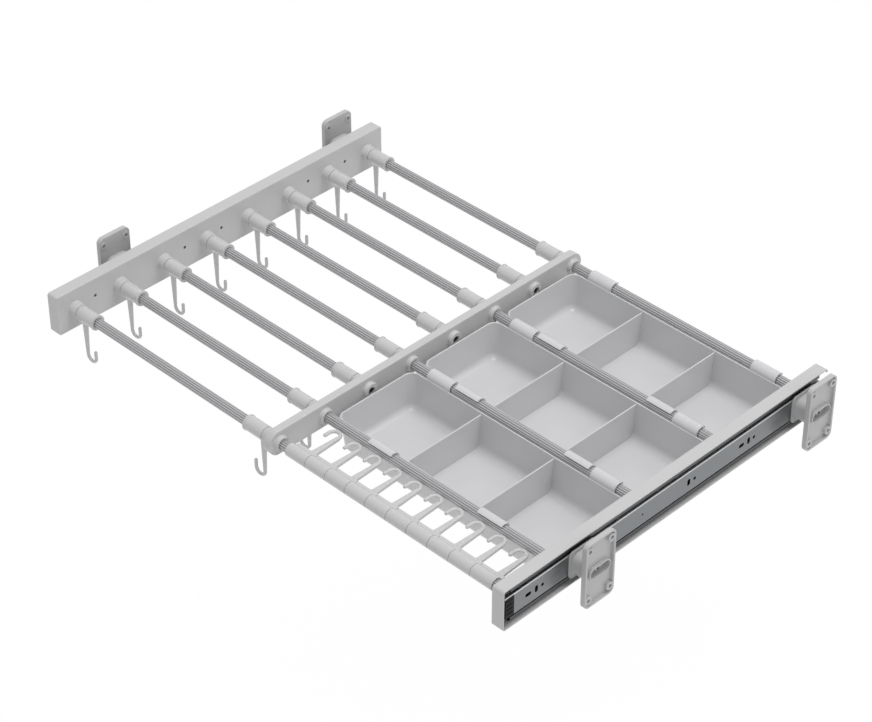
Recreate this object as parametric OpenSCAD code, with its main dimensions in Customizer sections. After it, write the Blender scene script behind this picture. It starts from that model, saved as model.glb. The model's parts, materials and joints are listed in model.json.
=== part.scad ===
// Pull out trouser rack that runs between the two side panels of a wardrobe.
// X runs across the cabinet from the left panel to the right one, Y runs into
// the cabinet and Z is up. The origin is the centre of the left front
// bracket's screw pattern, on the face of the left panel. The rack is closed.

/* [Cabinet] */
// Clear width between the two side panels
opening_w = 746; // [600:1:1000]
// Reach of a bracket, from its panel to the slide
bracket_reach = 25.8; // [22:0.1:40]
// Front bracket's centre behind the front of the rails
bracket_inset = 113; // [60:1:120]
// Rear bracket's centre ahead of the rear of the rails
bracket_rear_inset = 39; // [32:1:150]

/* [Rails] */
// Length of a side rail, front to back
rail_len = 500; // [496:1:600]
// Height of a side rail
rail_h = 51.5; // [49:0.5:60]
// Depth of the rail's channel, from its inner face to its open edge
rail_depth = 15.5; // [14.6:0.1:20]
// Thickness of the rail's walls
rail_t = 1.5; // [1.2:0.1:1.8]
// Radius of the rail's rounded ends
rail_r = 3.5; // [2.5:0.1:8]
// Radius along the rail's long edges
rail_edge_r = 1.2; // [0.6:0.1:2]
// Lip left round the open rear end
rail_lip = 3; // [1:0.1:3.4]

/* [Bars] */
// Diameter of a trouser bar
bar_d = 12; // [10:0.5:13]
// First and last bar's distance from the ends of the rails
bar_inset = 25; // [20:0.5:27]
// Depth of the flutes along a bar
flute_depth = 0.45; // [0.2:0.05:0.6]
// Radius of a flute
flute_r = 0.8; // [0.7:0.05:1]
// Width of the tray bay, from the beam to the right rail
tray_bay_w = 330; // [328:1:400]

/* [Beam and bosses] */
// Thickness of the middle beam
beam_t = 10; // [9:0.5:14]
// Height of the middle beam
beam_h = 30; // [26:0.5:36]
// Length of the bosses that carry the bars' ends
boss_len = 10; // [7:0.5:12]
// Radius of a boss where it leaves the rail
boss_base_r = 10; // [9:0.1:12]
// Radius of a boss at its end
boss_tip_r = 8.7; // [8:0.1:9]
// Length of the short bosses on the beam's tray side
short_boss_len = 5; // [4:0.5:7]

/* [End hooks] */
// Length of the sleeve that carries an end hook
sleeve_len = 29; // [22:0.5:36]
// Radius of the sleeve
sleeve_r = 8.7; // [8:0.1:10]
// Width of the groove between the sleeve and its boss
groove_w = 0.9; // [0.4:0.1:1.5]
// Depth of that groove
groove_depth = 1.1; // [0.5:0.1:1.3]
// Hook's shaft behind the boss end of the sleeve
hook_set = 6; // [4:0.5:9]
// Depth of the hook's bend below the bar's centre
hook_drop = 54; // [40:1:70]
// Radius of the hook's bend
hook_bend = 7; // [6:0.1:9]
// Radius of the hook's wire at the bend
hook_r = 1.95; // [1.5:0.05:2.4]
// Radius of the hook's shaft at the sleeve
hook_root_r = 3.4; // [2.6:0.1:4]
// Rise of the hook's point above the middle of the bend
hook_point = 8; // [4:0.5:14]

/* [Ring hooks] */
// First ring's start, from the beam's tray side
ring_start = 15.5; // [12:0.5:20]
// Last ring's end, from the right rail
ring_end = 17.9; // [12:0.1:40]
// Gap between two rings
ring_gap = 0.4; // [0.2:0.05:1]
// Radius of a ring
ring_r = 7.8; // [7.4:0.1:8.4]
// Gap between a ring hook's bend and the next bar
ring_clear = 1.7; // [1:0.1:12]
// Radius of the ring hook's bend
ring_bend = 7; // [5:0.1:8]
// Radius of the ring hook's wire
ring_wire_r = 2.1; // [1.6:0.05:2.4]
// Hook's shaft from the end of its ring
ring_shaft_set = 6.5; // [5:0.1:9]
// Width of the shaft where it leaves the web
ring_shaft_w = 7.5; // [5:0.1:9]
// Depth of the flat web behind a ring, from the bar's centre
ring_web = 12.5; // [10:0.5:16]
// Thickness of that web
ring_web_t = 3.6; // [2.4:0.1:4]
// Length of the ring hook's point
ring_point = 6; // [3:0.5:10]

/* [Trays] */
// Left wall of a tray from the beam's tray side
tray_start = 8; // [6:0.5:14]
// Gap between a tray and the right rail
tray_end_gap = 6; // [5:0.5:14]
// Depth of a tray
tray_depth = 43; // [25:1:60]
// Gap between a tray's outer face and a bar
tray_gap = 1.7; // [1:0.1:2.4]
// Thickness of a tray's walls
tray_wall = 2; // [1.4:0.1:3]
// Thickness of a tray's floor
tray_floor = 2; // [1.4:0.1:3]
// Drop of the tray's rim below the bars' centres
rim_drop = 3; // [1:0.1:5]
// Radius of a tray's upright corners
tray_corner_r = 12; // [8:0.5:18]
// Radius where a tray's walls meet its floor
tray_floor_r = 9; // [5:0.5:14]
// Lean of a tray's walls, from the rim to the floor
tray_lean = 4; // [1:0.5:6]
// Drop of the dividers below the rim
divider_drop = 2.5; // [0:0.5:8]
// Length of a saddle clip
clip_len = 34; // [20:0.5:38]
// Thickness of a saddle clip
clip_t = 1.8; // [1.2:0.1:2.4]
// Gap between a clip and its bar
clip_gap = 0.4; // [0.3:0.05:0.8]
// Rear clips' middle from the tray's ends
clip_inset = 40; // [33:0.5:60]
// Gap between the clips of two trays on one bar
clip_side_gap = 5; // [1:0.5:20]

/* [Slides] */
// Height of a slide
slide_h = 45; // [44:0.1:46]
// Thickness of a closed slide
slide_t = 12.7; // [12.6:0.1:13.4]
// Thickness of the slide's steel
slide_sheet = 1.2; // [1:0.05:1.3]
// Radius of the balls in the outer rows
outer_ball_r = 2; // [1.8:0.05:2.1]
// Radius of the balls in the inner rows
inner_ball_r = 1.5; // [1.3:0.05:1.6]
// Clearance round a ball
ball_gap = 0.1; // [0.05:0.01:0.15]
// Height of the slot between the outer member's lips
lip_gap = 33.2; // [32.4:0.1:34]
// Front end of the inner member behind the front of the rails
inner_front = 4; // [3:0.5:8]
// Front end of the outer member behind the front of the rails
outer_front = 13; // [8:0.5:20]
// Rear end of the slide ahead of the rear of the rails
slide_rear = 10; // [6:0.5:16]
// Length of a ball cage
cage_len = 222; // [150:1:224]

/* [Brackets] */
// Width of a bracket plate, front to back
plate_w = 48; // [46:0.5:60]
// Height of a bracket plate
plate_h = 86; // [82:0.5:100]
// Thickness of a bracket plate
plate_t = 6; // [5:0.1:8]
// Corner radius of a bracket plate
plate_r = 8; // [6:0.1:10]
// Distance between the screw holes, front to back
hole_pitch_y = 32; // [28:0.5:33]
// Distance between the screw holes, top to bottom
hole_pitch_z = 64; // [56:0.5:66]
// Diameter of a screw hole
hole_d = 4.5; // [3.5:0.1:5]
// Width of the rim round the hollow face
rim_w = 2.4; // [1.8:0.1:3]
// Depth of the hollow face
hollow_depth = 3.8; // [2:0.1:4.2]
// Length of the oblong collar
collar_len = 30; // [26:0.5:32]
// Height of the oblong collar
collar_h = 14; // [13.4:0.1:18]
// Radius of the round boss behind the plate
post_r = 15; // [13:0.1:17]
// Radius of the foot that meets the slide
foot_r = 19; // [17.5:0.1:19.2]

/* [Hidden] */
$fn = 64;
// Cuts run past the faces they open by this much
over = 1;
// Joined shapes run into each other by this much
bite = 0.5;

bar_count = 8;
// The front bar and the bars that carry trays cross both bays
function is_long(i) = i == 1 || i % 2 == 0;
long_bars = [for (i = [1:bar_count]) if (is_long(i)) i];
short_bars = [for (i = [1:bar_count]) if (!is_long(i)) i];
ring_count = 10;
tray_names = ["front", "middle", "rear"];

bar_r = bar_d / 2;
bar_fit = 0.05;
flute_count = 14;
pilot_r = 1.75;

rail_front = -bracket_inset;
rail_rear = rail_front + rail_len;
bracket_pitch = rail_len - bracket_inset - bracket_rear_inset;
slide_back = bracket_reach + slide_t;
rail_x = slide_back + rail_t;
rail_open_x = rail_x - rail_depth;
right_rail_x = opening_w - rail_x;
bar_pitch = (rail_len - 2 * bar_inset) / (bar_count - 1);
function bar_y(i) = rail_front + bar_inset + (i - 1) * bar_pitch;

beam_end_x = right_rail_x - tray_bay_w;
beam_x = beam_end_x - beam_t;
beam_edge_r = 1.2;
sleeve_lip = 0.6;
sleeve_lip_w = 1.8;
sleeve_x = rail_x + boss_len;
hook_x = sleeve_x + hook_set;

// Screws through the rail into the bars, and the socket screws in the beam
screw_r = 1.65;
screw_len = 18;
socket_seat = 4;
socket_head_r = 3.5;
socket_head_h = 3;
socket_r = 4.4;
hex_r = 1.6;
hex_depth = 1.6;

// Screws between the rail and the slide, level with a row of holes
slide_screw_r = 1.9;
slide_screw_up = 3;
slide_screw_short = 0.5;
slide_screw_shares = [0.108, 0.372, 0.484, 0.758, 0.878];
function slide_screw_y(s) = rail_front + s * rail_len;

// Slide section: u runs from the rail's web towards the panel
ball_share = 0.6;
ball_u = slide_t * ball_share;
outer_ball_z = slide_h / 2 - slide_sheet - ball_gap - outer_ball_r;
race_depth = 0.4;
mid_core = 1;
mid_race_top = outer_ball_z - outer_ball_r - ball_gap;
mid_race_low = mid_race_top - mid_core;
inner_ball_z = mid_race_low - ball_gap - inner_ball_r;
inner_race = inner_ball_z - inner_ball_r - ball_gap;
lip_u = ball_u + outer_ball_r + ball_gap;
member_gap = 0.35;
cage_t = 0.5;
mid_u = slide_sheet + 2 * member_gap + cage_t;
mid_end_u = lip_u - member_gap;
cage_end_u = mid_end_u - member_gap / 2;
inner_cage_u = mid_u + slide_sheet + member_gap;
inner_u = inner_cage_u + cage_t + 2 * member_gap;
inner_edge_r = 1.3;

slide_start = rail_front + inner_front;
slide_end = rail_rear - slide_rear;
middle_start = rail_front + rail_t + member_gap;
slide_mid = (slide_start + slide_end) / 2;
ball_rows = 8;
cage_margin = 6;
cage_fit = 0.08;

// Slots of the inner member, as shares of its length, and the two bracket screws
slot_w = 4.4;
slot_l = 8.4;
round_hole_r = 2;
small_hole_r = 1.2;
level_slot_shares = [0.067, 0.733];
upright_slot_shares = [0.091, 0.56, 0.757];
round_hole_shares = [0.109, 0.579, 0.775];
small_hole_shares = [0.413];
notch_len = 8;
notch_h = 15;
stop_len = 15;
stop_gap = 0.3;

// Bracket details
corner_boss_r = 5;
hole_ring_r = 4.6;
hole_ring_h = 0.8;
collar_wall = 1.9;
recess_depth = 9;
foot_t = 2.4;
foot_flare = 3.6;
adjuster_r = 2.4;
adjuster_fit = 0.1;
adjuster_head_r = 4.2;
adjuster_head_h = 3;
adjuster_past = 1.4;
bracket_ys = [0, bracket_pitch];

ring_x0 = beam_end_x + ring_start;
ring_pitch = (tray_bay_w - ring_start - ring_end + ring_gap) / ring_count;
ring_len = ring_pitch - ring_gap;
ring_reach = bar_pitch - bar_r - ring_clear - ring_wire_r - ring_bend;

tray_x0 = beam_end_x + tray_start;
tray_x1 = right_rail_x - tray_end_gap;
tray_len = tray_x1 - tray_x0;
tray_mid_x = (tray_x0 + tray_x1) / 2;
tray_off = bar_r + tray_gap;
rear_clip_x = tray_len / 2 - clip_inset;
front_clip_x = rear_clip_x - clip_len - clip_side_gap;
compartments = 3;
clip_wrap = 145;
clip_root = 4;
tray_fn = 28;

// Outlines

module rounded_rect(l, h, r) {
    square([l - 2 * r, h], center = true);
    square([l, h - 2 * r], center = true);
    for (y = [-1, 1], z = [-1, 1])
        translate([y * (l / 2 - r), z * (h / 2 - r)])
            circle(r);
}

module oblong(l, h) {
    if (l > h)
        square([l - h, h], center = true);
    for (y = [-1, 1])
        translate([y * (l - h) / 2, 0])
            circle(h / 2);
}

module above_and_below() {
    children();
    mirror([0, 1])
        children();
}

// An outline in Y and Z, carried from x along +X
module across(x, thick) {
    translate([x, 0, 0])
        rotate([90, 0, 90])
            linear_extrude(thick)
                children();
}

// An outline in X and Z, carried along Y between two places
module lengthwise(from, to) {
    translate([0, to, 0])
        rotate([90, 0, 0])
            linear_extrude(to - from)
                children();
}

// The slide's outlines have u to the right, from the web of the left rail
module slide_section(from, to) {
    translate([slide_back, 0, 0])
        mirror([1, 0, 0])
            lengthwise(from, to)
                children();
}

module rod(x, y, z, l, r) {
    translate([x, y, z])
        rotate([0, 90, 0])
            cylinder(h = l, r = r);
}

module taper(x, y, z, l, r1, r2) {
    translate([x, y, z])
        rotate([0, 90, 0])
            cylinder(h = l, r1 = r1, r2 = r2);
}

module on_side(side) {
    if (side == "right")
        translate([opening_w, 0, 0])
            mirror([1, 0, 0])
                children();
    else
        children();
}

// Brackets

module bracket_plate() {
    difference() {
        across(0, plate_t)
            rounded_rect(plate_w, plate_h, plate_r);
        across(-over, hollow_depth + over)
            difference() {
                rounded_rect(plate_w - 2 * rim_w, plate_h - 2 * rim_w, plate_r - rim_w);
                oblong(collar_len, collar_h);
                for (y = [-1, 1], z = [-1, 1])
                    translate([y * hole_pitch_y / 2, z * hole_pitch_z / 2])
                        circle(corner_boss_r);
            }
    }
    for (y = [-1, 1], z = [-1, 1])
        rod(plate_t, y * hole_pitch_y / 2, z * hole_pitch_z / 2, hole_ring_h, hole_ring_r);
}

module bracket_post() {
    neck_end = bracket_reach - foot_t - foot_flare;
    rod(plate_t - bite, 0, 0, neck_end - plate_t + bite, post_r);
    taper(neck_end, 0, 0, foot_flare, post_r, foot_r);
    rod(bracket_reach - foot_t, 0, 0, foot_t, foot_r);
}

module bracket(side, y) {
    color([0.72, 0.72, 0.72])
        on_side(side)
            translate([0, y, 0])
                difference() {
                    union() {
                        bracket_plate();
                        bracket_post();
                    }
                    for (h = [-1, 1], v = [-1, 1])
                        rod(-over, h * hole_pitch_y / 2, v * hole_pitch_z / 2,
                            plate_t + hole_ring_h + 2 * over, hole_d / 2);
                    across(-over, recess_depth + over)
                        oblong(collar_len - 2 * collar_wall, collar_h - 2 * collar_wall);
                    rod(0, 0, 0, bracket_reach + over, adjuster_r + adjuster_fit);
                }
}

// One screw holds the slide's inner member on each bracket
module adjuster(side, y) {
    on_side(side)
        translate([0, y, 0])
            difference() {
                union() {
                    rod(recess_depth - adjuster_head_h, 0, 0, adjuster_head_h, adjuster_head_r);
                    rod(recess_depth, 0, 0,
                        bracket_reach - recess_depth + slide_sheet + adjuster_past, adjuster_r);
                }
                rod(recess_depth - adjuster_head_h - over, 0, 0, hex_depth + over, hex_r, $fn = 6);
            }
}

module bracket_screws() {
    color([0.35, 0.36, 0.38])
        for (side = ["left", "right"], y = bracket_ys)
            adjuster(side, y);
}

// Slides

module quarter_ring(r_in, r_out) {
    intersection() {
        difference() {
            circle(r_out);
            circle(r_in);
        }
        square(r_out + over);
    }
}

module outer_member_outline() {
    translate([0, -slide_h / 2])
        square([slide_sheet, slide_h]);
    above_and_below() {
        translate([0, slide_h / 2 - slide_sheet])
            square([ball_u, slide_sheet]);
        translate([ball_u, outer_ball_z])
            quarter_ring(outer_ball_r + ball_gap, outer_ball_r + ball_gap + slide_sheet);
        translate([lip_u, lip_gap / 2])
            square([slide_sheet, outer_ball_z - lip_gap / 2]);
    }
}

module middle_member_outline() {
    flange_top = mid_race_top + race_depth;
    flange_low = mid_race_low - race_depth;
    translate([mid_u, -flange_top])
        square([slide_sheet, 2 * flange_top]);
    above_and_below()
        difference() {
            translate([mid_u, flange_low])
                square([mid_end_u - mid_u, flange_top - flange_low]);
            translate([ball_u, outer_ball_z])
                circle(outer_ball_r + ball_gap);
            translate([ball_u, inner_ball_z])
                circle(inner_ball_r + ball_gap);
        }
}

module inner_member_outline() {
    flange_top = inner_race + race_depth;
    flange_low = inner_race - slide_sheet;
    above_and_below()
        difference() {
            union() {
                translate([slide_t - slide_sheet, 0])
                    square([slide_sheet, flange_top - inner_edge_r]);
                translate([inner_u, flange_low])
                    square([slide_t - inner_u - inner_edge_r, flange_top - flange_low]);
                translate([slide_t - inner_edge_r, flange_top - inner_edge_r])
                    intersection() {
                        circle(inner_edge_r);
                        square(inner_edge_r);
                    }
                translate([slide_t - inner_edge_r, flange_low])
                    square([inner_edge_r, flange_top - inner_edge_r - flange_low]);
            }
            translate([ball_u, inner_ball_z])
                circle(inner_ball_r + ball_gap);
        }
}

module cage_outline(u, z) {
    translate([u, -z - cage_t / 2])
        square([cage_t, 2 * z + cage_t]);
    above_and_below()
        translate([u, z - cage_t / 2])
            square([cage_end_u - u, cage_t]);
}

module outer_member(side) {
    color([0.56, 0.57, 0.58])
        on_side(side)
            difference() {
                slide_section(rail_front + outer_front, slide_end)
                    outer_member_outline();
                for (s = slide_screw_shares)
                    flare_hole(slide_back - slide_sheet, slide_screw_y(s), slide_screw_up,
                               slide_sheet, slide_screw_r);
            }
}

module middle_member(side) {
    color([0.62, 0.63, 0.64])
        on_side(side)
            slide_section(middle_start, slide_end)
                middle_member_outline();
}

module web_hole(share, l, h) {
    across(bracket_reach - over, slide_sheet + 2 * over)
        translate([slide_start + share * (slide_end - slide_start), 0])
            if (l >= h)
                oblong(l, h);
            else
                rotate(90)
                    oblong(h, l);
}

module inner_member(side) {
    color([0.54, 0.55, 0.57])
        on_side(side)
            difference() {
                slide_section(slide_start, slide_end)
                    inner_member_outline();
                for (s = level_slot_shares)
                    web_hole(s, slot_l, slot_w);
                for (s = upright_slot_shares)
                    web_hole(s, slot_w, slot_l);
                for (s = round_hole_shares)
                    web_hole(s, 2 * round_hole_r, 2 * round_hole_r);
                for (s = small_hole_shares)
                    web_hole(s, 2 * small_hole_r, 2 * small_hole_r);
                for (y = bracket_ys)
                    rod(bracket_reach - over, y, 0, slide_sheet + 2 * over,
                        adjuster_r + adjuster_fit);
                translate([bracket_reach - over, slide_start - over, -notch_h / 2])
                    cube([slide_sheet + 2 * over, notch_len + over, notch_h]);
            }
}

// Plastic catch in the front of the inner member, seen through the notch
module stop(side) {
    body_x = bracket_reach + slide_sheet;
    body_h = 2 * (inner_race - slide_sheet - stop_gap);
    body_t = slide_back - inner_u - body_x;
    tongue_h = notch_h / 2;
    color([0.09, 0.09, 0.1])
        on_side(side)
            translate([0, slide_start, 0])
                difference() {
                    union() {
                        translate([body_x, 0, -body_h / 2])
                            cube([body_t, stop_len, body_h]);
                        translate([bracket_reach + stop_gap, notch_len / 2, -tongue_h / 2])
                            cube([slide_sheet, notch_len / 2 - stop_gap, tongue_h]);
                    }
                    translate([body_x + body_t / 2, -over, -tongue_h / 2])
                        cube([body_t / 2 + over, notch_len / 2 + over, tongue_h]);
                }
}

// A ball cage and its balls, above and below the middle of the slide
module ball_cage(side, u, z, ball) {
    start = slide_mid - cage_len / 2;
    step = (cage_len - 2 * cage_margin) / (ball_rows - 1);
    color([0.8, 0.8, 0.76])
        on_side(side) {
            difference() {
                slide_section(start, start + cage_len)
                    cage_outline(u, z);
                for (k = [0:ball_rows - 1], v = [-1, 1])
                    translate([slide_back - ball_u, start + cage_margin + k * step, v * z])
                        cylinder(h = 2 * cage_t, r = ball + cage_fit, center = true);
            }
            for (k = [0:ball_rows - 1], v = [-1, 1])
                translate([slide_back - ball_u, start + cage_margin + k * step, v * z])
                    sphere(ball);
        }
}

// Rails

// Countersunk hole from the channel side, its flare at x and its shank behind
module flare_hole(x, y, z, depth, r) {
    taper(x, y, z, depth, r + depth, r);
}

module rail_shell() {
    difference() {
        intersection() {
            across(rail_open_x, rail_depth)
                translate([rail_front + rail_len / 2, 0])
                    rounded_rect(rail_len, rail_h, rail_r);
            lengthwise(rail_front - over, rail_rear + over)
                difference() {
                    translate([rail_open_x, -rail_h / 2])
                        square([rail_depth, rail_h]);
                    above_and_below()
                        translate([rail_x - rail_edge_r, rail_h / 2 - rail_edge_r])
                            difference() {
                                square(rail_edge_r + over);
                                circle(rail_edge_r);
                            }
                }
        }
        across(rail_open_x - over, rail_depth - rail_t + over)
            translate([rail_front + rail_len / 2, 0])
                rounded_rect(rail_len - 2 * rail_t, rail_h - 2 * rail_t, rail_r - rail_t);
        translate([rail_open_x - over, rail_rear - rail_t - over,
                   -(rail_h / 2 - rail_t - rail_lip)])
            cube([rail_depth - rail_t + over, rail_t + 2 * over,
                  rail_h - 2 * (rail_t + rail_lip)]);
    }
}

module rail(side, bars) {
    color([0.68, 0.68, 0.66])
        on_side(side)
            difference() {
                union() {
                    rail_shell();
                    for (i = bars)
                        taper(rail_x - bite, bar_y(i), 0, boss_len + bite,
                              boss_base_r, boss_tip_r);
                }
                for (i = bars) {
                    rod(rail_x, bar_y(i), 0, boss_len + over, bar_r + bar_fit);
                    rod(slide_back - over, bar_y(i), 0, rail_t + 2 * over, screw_r + bar_fit);
                    flare_hole(slide_back, bar_y(i), 0, rail_t, screw_r + bar_fit);
                }
                for (s = slide_screw_shares)
                    rod(slide_back - over, slide_screw_y(s), slide_screw_up,
                        rail_t + 2 * over, slide_screw_r + bar_fit);
            }
}

module rail_screw(side, i) {
    on_side(side) {
        taper(slide_back, bar_y(i), 0, rail_t, screw_r + rail_t, screw_r);
        rod(slide_back, bar_y(i), 0, screw_len, screw_r);
    }
}

module rail_screws() {
    color([0.45, 0.46, 0.48]) {
        for (i = [1:bar_count])
            rail_screw("left", i);
        for (i = long_bars)
            rail_screw("right", i);
    }
}

module slide_screws() {
    color([0.14, 0.14, 0.15])
        for (side = ["left", "right"], s = slide_screw_shares)
            on_side(side) {
                taper(slide_back - slide_sheet, slide_screw_y(s), slide_screw_up,
                      slide_sheet, slide_screw_r + slide_sheet, slide_screw_r);
                rod(slide_back - slide_sheet, slide_screw_y(s), slide_screw_up,
                    slide_sheet + rail_t - slide_screw_short, slide_screw_r);
            }
}

// Beam

module middle_beam() {
    beam_len = bar_pitch * (bar_count - 1) + beam_h;
    color([0.7, 0.7, 0.69])
        difference() {
            union() {
                intersection() {
                    across(beam_x, beam_t)
                        translate([rail_front + rail_len / 2, 0])
                            oblong(beam_len, beam_h);
                    lengthwise(rail_front, rail_rear)
                        translate([beam_x + beam_t / 2, 0])
                            rounded_rect(beam_t, beam_h, beam_edge_r);
                }
                for (i = [1:bar_count]) {
                    taper(beam_x - boss_len, bar_y(i), 0, boss_len + beam_t / 2,
                          boss_tip_r, boss_base_r);
                    taper(beam_x + beam_t / 2, bar_y(i), 0, beam_t / 2 + short_boss_len,
                          boss_base_r, boss_tip_r);
                }
            }
            for (i = long_bars)
                rod(beam_x - boss_len - over, bar_y(i), 0,
                    boss_len + beam_t + short_boss_len + 2 * over, bar_r + bar_fit);
            for (i = short_bars) {
                rod(beam_x - boss_len - over, bar_y(i), 0,
                    boss_len + beam_t - socket_seat + over, bar_r + bar_fit);
                rod(beam_x, bar_y(i), 0, beam_t + short_boss_len, screw_r + bar_fit);
                rod(beam_end_x, bar_y(i), 0, short_boss_len + over, socket_r);
            }
        }
}

module beam_screws() {
    color([0.2, 0.2, 0.24])
        for (i = short_bars)
            difference() {
                union() {
                    rod(beam_end_x, bar_y(i), 0, socket_head_h, socket_head_r);
                    rod(beam_end_x - screw_len, bar_y(i), 0, screw_len, screw_r);
                }
                rod(beam_end_x + socket_head_h - hex_depth, bar_y(i), 0, hex_depth + over,
                    hex_r, $fn = 6);
            }
}

// Bars

module bar_outline() {
    difference() {
        circle(bar_r);
        for (k = [0:flute_count - 1])
            rotate(k * 360 / flute_count)
                translate([bar_r + flute_r - flute_depth, 0])
                    circle(flute_r);
        circle(pilot_r);
    }
}

module bar(i) {
    bar_end = is_long(i) ? right_rail_x : beam_end_x - socket_seat;
    color([0.64, 0.64, 0.65])
        across(rail_x, bar_end - rail_x)
            translate([bar_y(i), 0])
                bar_outline();
}

// End hooks

// A hook's bend and point: the shaft meets it at the origin, from above
module hook_bend(bend, wire, point) {
    translate([bend, 0, 0])
        rotate([90, 0, 0])
            rotate(180)
                rotate_extrude(angle = 180)
                    translate([bend, 0])
                        circle(wire);
    translate([2 * bend, 0, 0]) {
        cylinder(h = point, r = wire);
        translate([0, 0, point])
            sphere(wire);
    }
}

module end_hook(i) {
    difference() {
        union() {
            rod(sleeve_x, bar_y(i), 0, sleeve_len, sleeve_r - groove_depth);
            rod(sleeve_x + groove_w, bar_y(i), 0, sleeve_len - groove_w, sleeve_r);
            rod(sleeve_x + sleeve_len - sleeve_lip_w, bar_y(i), 0, sleeve_lip_w,
                sleeve_r + sleeve_lip);
            translate([hook_x, bar_y(i), -hook_drop]) {
                cylinder(h = hook_drop, r1 = hook_r, r2 = hook_root_r);
                hook_bend(hook_bend, hook_r, hook_point);
            }
        }
        rod(sleeve_x - over, bar_y(i), 0, sleeve_len + 2 * over, bar_r + bar_fit);
    }
}

module left_end_hook(i) {
    color([0.72, 0.72, 0.71])
        end_hook(i);
}

module right_end_hook(i) {
    color([0.72, 0.72, 0.71])
        translate([rail_x + beam_x, 0, 0])
            mirror([1, 0, 0])
                end_hook(i);
}

// Ring hooks

module ring_hook(k) {
    x0 = ring_x0 + (k - 1) * ring_pitch;
    x1 = x0 + ring_len;
    shaft_x = x1 - ring_shaft_set;
    root = ring_shaft_w / 2;
    y0 = bar_y(1);
    color([0.76, 0.76, 0.75])
        difference() {
            union() {
                rod(x0, y0, 0, ring_len, ring_r);
                translate([0, y0, -ring_web_t / 2])
                    linear_extrude(ring_web_t)
                        polygon([[x0, 0], [x1, 0], [x1, ring_web],
                                 [shaft_x + root, ring_web],
                                 [shaft_x + ring_wire_r, ring_reach],
                                 [shaft_x - ring_wire_r, ring_reach],
                                 [shaft_x - root, ring_web], [x0, ring_web]]);
                translate([shaft_x, y0, 0])
                    rotate([-90, 0, 0])
                        cylinder(h = ring_reach, r = ring_wire_r);
                translate([shaft_x - ring_bend, y0 + ring_reach, 0])
                    rotate_extrude(angle = 180)
                        translate([ring_bend, 0])
                            circle(ring_wire_r);
                translate([shaft_x - 2 * ring_bend, y0 + ring_reach, 0])
                    rotate([90, 0, 0]) {
                        cylinder(h = ring_point, r = ring_wire_r);
                        translate([0, 0, ring_point])
                            sphere(ring_wire_r);
                    }
            }
            rod(x0 - over, y0, 0, ring_len + 2 * over, bar_r + bar_fit);
        }
}

// Trays

// A basin from x0 to x1 and y0 to y1, leaning in from its top to its floor
module basin(x0, x1, y0, y1, top, low, corner, foot) {
    inset = foot + tray_lean;
    hull() {
        for (x = [x0 + corner, x1 - corner], y = [y0 + corner, y1 - corner])
            translate([x, y, top - over])
                cylinder(h = over, r = corner, $fn = tray_fn);
        for (x = [x0 + inset, x1 - inset], y = [y0 + inset, y1 - inset])
            translate([x, y, low + foot])
                sphere(foot, $fn = tray_fn);
    }
}

// Saddle clip over a bar, with the tray on its +Y side
module clip_outline() {
    r_in = bar_r + clip_gap;
    r_out = r_in + clip_t;
    intersection() {
        difference() {
            circle(r_out);
            circle(r_in);
        }
        polygon([[0, 0], [2 * r_out, 0], [2 * r_out, 2 * r_out], [-2 * r_out, 2 * r_out],
                 [2 * r_out * cos(clip_wrap), 2 * r_out * sin(clip_wrap)]]);
    }
    polygon([[r_in, 0], [r_out, 0], [tray_off + tray_wall, -rim_drop],
             [tray_off + tray_wall, -rim_drop - clip_root], [r_in, -rim_drop - clip_root]]);
}

module tray(n) {
    front_y = bar_y(2 * n);
    rear_y = bar_y(2 * n + 2);
    y0 = front_y + tray_off;
    y1 = rear_y - tray_off;
    rim = -rim_drop;
    low = rim - tray_depth;
    cell = (tray_len - tray_wall * (compartments + 1)) / compartments;
    color([0.75, 0.75, 0.77]) {
        difference() {
            basin(tray_x0, tray_x1, y0, y1, rim, low, tray_corner_r, tray_floor_r);
            for (c = [0:compartments - 1]) {
                cell_x = tray_x0 + tray_wall + c * (cell + tray_wall);
                basin(cell_x, cell_x + cell, y0 + tray_wall, y1 - tray_wall, rim + over,
                      low + tray_floor, tray_corner_r - tray_wall, tray_floor_r - tray_wall);
            }
            translate([tray_x0 + tray_corner_r, y0 + tray_wall, rim - divider_drop])
                cube([tray_len - 2 * tray_corner_r, y1 - y0 - 2 * tray_wall,
                      divider_drop + over]);
        }
        for (d = [-1, 1]) {
            across(tray_mid_x + d * front_clip_x - clip_len / 2, clip_len)
                translate([front_y, 0])
                    clip_outline();
            across(tray_mid_x + d * rear_clip_x - clip_len / 2, clip_len)
                translate([rear_y, 0])
                    mirror([1, 0])
                        clip_outline();
        }
    }
}

bracket("left", bracket_ys[0]);  // left_front_bracket
bracket("left", bracket_ys[1]);  // left_rear_bracket
bracket("right", bracket_ys[0]);  // right_front_bracket
bracket("right", bracket_ys[1]);  // right_rear_bracket
bracket_screws();
inner_member("left");  // left_inner_member
inner_member("right");  // right_inner_member
stop("left");  // left_stop
stop("right");  // right_stop
middle_member("left");  // left_middle_member
middle_member("right");  // right_middle_member
outer_member("left");  // left_outer_member
outer_member("right");  // right_outer_member
ball_cage("left", slide_sheet + member_gap, outer_ball_z, outer_ball_r);  // left_outer_cage
ball_cage("left", inner_cage_u, inner_ball_z, inner_ball_r);  // left_inner_cage
ball_cage("right", slide_sheet + member_gap, outer_ball_z, outer_ball_r);  // right_outer_cage
ball_cage("right", inner_cage_u, inner_ball_z, inner_ball_r);  // right_inner_cage
rail("left", [1:bar_count]);  // left_rail
rail("right", long_bars);  // right_rail
middle_beam();
beam_screws();
rail_screws();
slide_screws();
for (i = [1:bar_count]) {
    bar(i);
    left_end_hook(i);
    right_end_hook(i);
}
for (k = [1:ring_count])
    ring_hook(k);
for (t = [0:len(tray_names) - 1])
    tray(t + 1);
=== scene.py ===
import json
import math

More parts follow.
